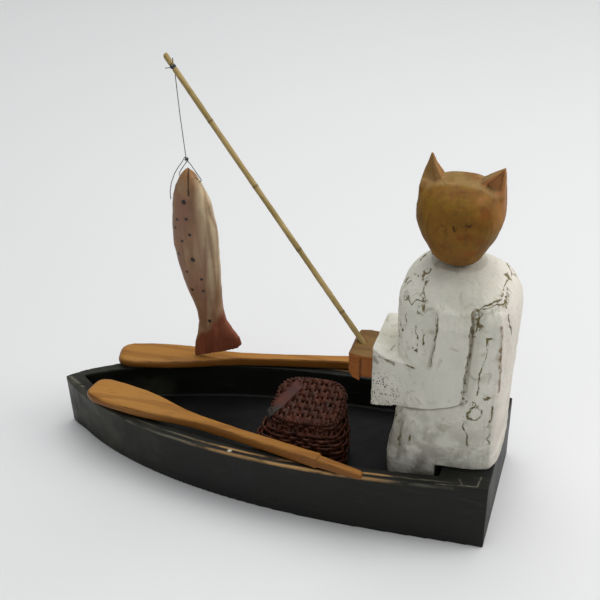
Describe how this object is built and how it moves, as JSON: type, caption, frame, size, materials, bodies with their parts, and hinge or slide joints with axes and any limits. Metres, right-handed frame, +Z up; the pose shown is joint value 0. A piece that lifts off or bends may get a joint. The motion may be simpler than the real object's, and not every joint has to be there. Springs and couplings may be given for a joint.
{
  "type": "carved cat fishing from a rowing boat",
  "caption": "Carved wooden cat seated in the stern of a small rowing boat, fishing with a bamboo rod; a fish hangs from its line, with a creel and paddles aboard.",
  "frame": {"origin": "middle of the boat's length and beam, on its flat bottom", "axes": "+Z up, +X towards the stern where the cat sits, bow towards -X, near side with the shorter way to the camera -Y"},
  "size_m": [0.3036, 0.1245, 0.2681],
  "materials": {
    "black_paint": "matt black paint, rubbed pale along the rim",
    "white_paint": "off-white crackled paint",
    "golden_stain": "golden brown mottled stain, waxed",
    "bare_wood": "bare orange brown wood",
    "bamboo": "split bamboo, satin",
    "thread": "dark twisted thread",
    "fish_paint": "dusty pink brown paint with dark spots",
    "wicker_brown": "dark red brown paint over carved wicker relief, satin",
    "pale_wood": "warm golden brown oiled wood"
  },
  "bodies": {
    "boat": {"hull": "black_paint", "cat_body": "white_paint", "seat_peg_near": "pale_wood", "seat_peg_far": "pale_wood", "neck_dowel": "pale_wood", "paw_block": "bare_wood", "wrist_dowel": "pale_wood"},
    "head": {"cat_head": "golden_stain"},
    "rod_body": {"rod": "bamboo", "rod_tip_knot": "thread"},
    "line_body": {"fishing_line": "thread"},
    "fish_body": {"bridle_knot": "thread", "bridle_line": "thread", "fish": "fish_paint"},
    "creel_body": {"creel": "wicker_brown"},
    "near_paddle_body": {"paddle_near": "pale_wood"},
    "far_paddle_body": {"paddle_far": "pale_wood"}
  },
  "joints": [
    {"name": "head_turn", "type": "hinge", "parent": "boat", "child": "head", "pos_m": [0.114, 0, 0.176], "axis": [0, 0, 1], "continuous": true},
    {"name": "rod_pull", "type": "slide", "parent": "boat", "child": "rod_body", "axis": [-0.6392, 0.171, 0.7498], "range_m": [0, 0.03]},
    {"name": "line_swing", "type": "hinge", "parent": "rod_body", "child": "line_body", "pos_m": [-0.0712, 0.0342, 0.2572], "axis": [0, 1, 0], "range_deg": [-15, 0]},
    {"name": "fish_spin", "type": "hinge", "parent": "line_body", "child": "fish_body", "pos_m": [-0.0671, 0.035, 0.1979], "axis": [0.1097, 0, -0.994], "continuous": true},
    {"name": "creel_lift", "type": "slide", "parent": "boat", "child": "creel_body", "axis": [-0.2588, 0, 0.9659], "range_m": [0, 0.06]},
    {"name": "paddle_near_lift", "type": "slide", "parent": "boat", "child": "near_paddle_body", "axis": [0, 0, 1], "range_m": [0, 0.05]},
    {"name": "paddle_far_draw", "type": "slide", "parent": "boat", "child": "far_paddle_body", "axis": [0, 1, 0], "range_m": [0, 0.04]}
  ]
}
